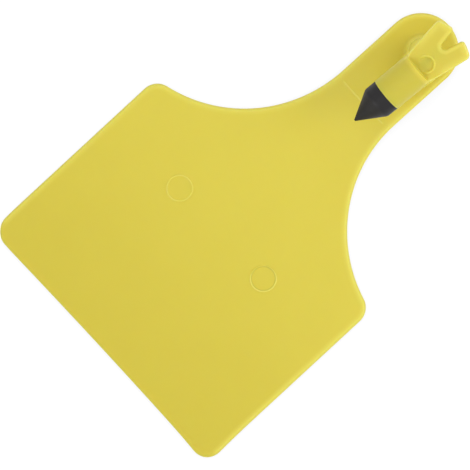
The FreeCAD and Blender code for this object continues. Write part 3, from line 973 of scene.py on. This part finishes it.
def pale_tint_and_highlights(x, y, z):
    """Paint of the toggle: a pale tint all over, and painted highlights on its edges, lines, dimple crest,
    mouth, slot lip and front step, fading out lower down.
    """
    # painted highlights fade out lower down, as light falls from above
    lit_from_above = smooth_step(z, -2.2, 1.4)
    past = dimple_reach(x, y) - DIMPLE_RADIUS
    within, slot = -tail_plan(x, y), slot_plan(x, y)
    shoulder = 1 - smooth_step(np.abs(np.abs(x) - SIDE_LINE), 0.1, 0.3)
    shoulder = shoulder * smooth_step(y, FLAT_FRONT - 3.2, FLAT_FRONT - 2.2) * (y < FLAT_FRONT)
    step = 1 - smooth_step(np.abs(y - FLAT_FRONT + 0.12), 0.1, 0.3)
    dimple = (1 - smooth_step(np.abs(past - 0.05), 0.1, 0.25)) * dimple_lean(x, y)
    mouth = 1 - smooth_step(y, SLEEVE_MOUTH + 0.1, SLEEVE_MOUTH + 0.5)
    lip = smooth_step(slot, 0, 0.4) * (1 - smooth_step(slot, 0.7, 1.6))
    outline = (1 - smooth_step(within, 0.25, 0.5)) * smooth_step(y, FLAT_FRONT, FLAT_FRONT + 0.3)
    # painted highlights by place
    shares = [
        SHOULDER_HIGHLIGHT * shoulder * (z > 0),
        DIMPLE_HIGHLIGHT * dimple * (z > 0),
        MOUTH_HIGHLIGHT * mouth,
        LIP_HIGHLIGHT * lip * lit_from_above,
        outline * lit_from_above,
        STEP_HIGHLIGHT * step * smooth_step(z, FLAT_HEIGHT, FLAT_HEIGHT + 0.2),
    ]
    # broad painted highlight along the block's sides towards the tail
    broad_highlight = BROAD_HIGHLIGHT * (1 - smooth_step(within, 0.3, 2.2)) * lit_from_above * smooth_step(y, 0, 3)
    return np.maximum(BLOCK_PALE + broad_highlight, np.max(shares, axis=0))


def over_shank(y):
    """How much a point of the toggle lies over the dark shank in the sleeve."""
    before_flat = smooth_step(y, FLAT_FRONT - 0.5, FLAT_FRONT - 1.3)
    return before_flat * smooth_step(y, SLEEVE_MOUTH + 0.15, SLEEVE_MOUTH + 0.6)


def build_toggle(material):
    """Soft toggle: sleeve, block, forked tail and the stub that meets the stem."""
    low = (-TAIL_HALF - 0.5, SLEEVE_MOUTH - 0.5, -SLEEVE_RADIUS - 1.0)
    high = (TAIL_HALF + 0.5, TAIL_END + 0.8, SLEEVE_RADIUS + 0.5)
    local, quads = surface_net(toggle_field, low, high, NET_STEP)
    piece = add_mesh("toggle_moulding", to_row(local), quads, material, "toggle")
    dull = SLEEVE_SHADE * over_shank(local[:, 1])
    # painted highlights and a pale tint; darker where the shank shows through the sleeve
    add_tones(piece, rim=pale_tint_and_highlights(*local.T), dull=dull, tone=BLOCK_TONE)
    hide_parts("toggle_body")
    return piece


# ---- floor, light and camera ----


def floor_material():
    """White floor for the camera, pale diffuse for the light that it bounces.

    From above, the camera sees the white surroundings through it, darker where the tag keeps the light off,
    and whatever a pose folds below it. Light from below passes. From below, the camera sees plain white.
    """
    material = bpy.data.materials.new("white_floor")
    material.use_nodes = True
    n = Nodes(material.node_tree)
    n.tree.nodes.clear()
    below = n.add("ShaderNodeNewGeometry").outputs["Backfacing"]
    light = n.add("ShaderNodeAmbientOcclusion", {"Distance": SHADOW_REACH}, samples=AO_SAMPLES)
    share = {"Value": light.outputs["AO"], "To Min": SHADOW_TINT}
    tint = n.add("ShaderNodeMapRange", share).outputs["Result"]
    diffuse = n.add("ShaderNodeBsdfDiffuse", {"Color": FLOOR_PALE}).outputs[0]
    passing = n.add("ShaderNodeBsdfTransparent").outputs[0]
    shaded = n.add("ShaderNodeBsdfTransparent", {"Color": tint}).outputs[0]
    glow = n.add("ShaderNodeEmission").outputs[0]
    unseen, seen = n.mix_shaders(below, diffuse, passing), n.mix_shaders(below, shaded, glow)
    n.add("ShaderNodeOutputMaterial", {"Surface": n.when_seen(unseen, seen)})
    return material


def build_floor():
    """The floor that the tag lies on, just clear of its back."""
    mesh = bpy.data.meshes.new("floor")
    corners = [(x * FLOOR_HALF, y * FLOOR_HALF, -FLOOR_DROP) for x, y in ((-1, -1), (1, -1), (1, 1), (-1, 1))]
    mesh.from_pydata(corners, [], [(0, 1, 2, 3)])
    mesh.materials.append(floor_material())
    floor = bpy.data.objects.new("floor", mesh)
    bpy.context.scene.collection.objects.link(floor)


def build_world():
    """Even white surroundings, plain white to the camera and in reflections."""
    world = bpy.data.worlds.new("studio")
    bpy.context.scene.world = world
    world.use_nodes = True
    n = Nodes(world.node_tree)
    n.tree.nodes.clear()
    sky = n.add("ShaderNodeBackground", {"Color": WHITE, "Strength": SKY_STRENGTH}).outputs[0]
    backdrop = n.add("ShaderNodeBackground", {"Color": WHITE, "Strength": BACKDROP_STRENGTH}).outputs[0]
    n.add("ShaderNodeOutputWorld", {"Surface": n.when_seen(sky, backdrop)})


def add_lamp(name, azimuth, elevation, distance, size, power):
    """Square area lamp aimed at the neck. Azimuth 0 is on the +X side, turning towards +Y."""
    turn, rise = math.radians(azimuth), math.radians(elevation)
    away = Vector((math.cos(turn) * math.cos(rise), math.sin(turn) * math.cos(rise), math.sin(rise)))
    data = bpy.data.lights.new(name, "AREA")
    data.size = size
    data.energy = power
    lamp = bpy.data.objects.new(name, data)
    lamp.location = Vector(LAMP_AIM) + away * distance
    lamp.rotation_mode = "QUATERNION"
    lamp.rotation_quaternion = away.to_track_quat("Z", "Y")
    bpy.context.scene.collection.objects.link(lamp)


def add_camera():
    """Straight down on the tag, which lies on the picture's diagonal with its head at the upper right."""
    turn = math.radians(TAG_ANGLE)
    right = Vector((math.sin(turn), math.cos(turn), 0))
    up = Vector((-math.cos(turn), math.sin(turn), 0))
    back = Vector((0, 0, 1))
    data = bpy.data.cameras.new("camera")
    data.lens = data.sensor_width * VIEW_DISTANCE / VIEW_WIDTH
    camera = bpy.data.objects.new("camera", data)
    place = Matrix.Translation(Vector(VIEW_CENTRE) * MM + back * VIEW_DISTANCE)
    camera.matrix_world = place @ Matrix((right, up, back)).transposed().to_4x4()
    bpy.context.scene.collection.objects.link(camera)
    bpy.context.scene.camera = camera


def main():
    tpu, acetal = yellow_tpu(), black_acetal()
    build_sheet(tpu)
    build_stem(tpu)
    build_toggle(tpu)
    build_tip(acetal)
    build_floor()
    build_world()
    for lamp in LAMPS:
        add_lamp(*lamp)
    add_camera()
    bpy.context.scene.view_settings.view_transform = "Standard"


main()
